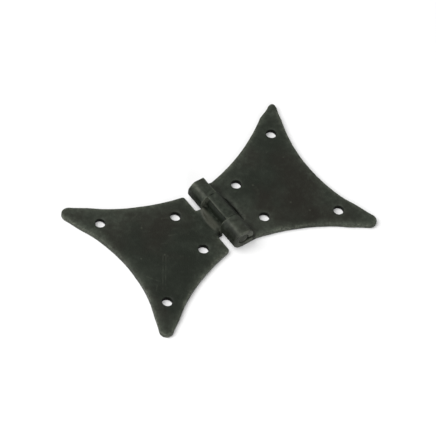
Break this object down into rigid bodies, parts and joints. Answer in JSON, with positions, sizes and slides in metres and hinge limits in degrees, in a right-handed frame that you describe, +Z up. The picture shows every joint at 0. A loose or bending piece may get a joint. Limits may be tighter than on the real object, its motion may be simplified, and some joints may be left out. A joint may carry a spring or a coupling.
{
  "type": "butterfly hinge",
  "caption": "Flat butterfly hinge of dark waxed sheet steel: two flared leaves with screw holes, their tongues rolled round a pin so that they fold together face to face.",
  "frame": {"origin": "on the back plane of the leaves, under the middle of the pin", "axes": "+X across the hinge towards the leaf with two knuckles, +Y along the pin, +Z up from the back to the front, where the barrel stands proud"},
  "size_m": [0.0762, 0.051, 0.0065],
  "materials": {
    "waxed_steel": "satin",
    "pin_steel": "satin"
  },
  "bodies": {
    "two_knuckle_leaf": {"right_leaf": "waxed_steel", "hinge_pin": "pin_steel"},
    "one_knuckle_leaf": {"left_leaf": "waxed_steel"}
  },
  "joints": [
    {"name": "leaf_fold", "type": "hinge", "parent": "two_knuckle_leaf", "child": "one_knuckle_leaf", "pos_m": [0, 0, 0.0034], "axis": [0, 1, 0], "range_deg": [0, 180]}
  ]
}
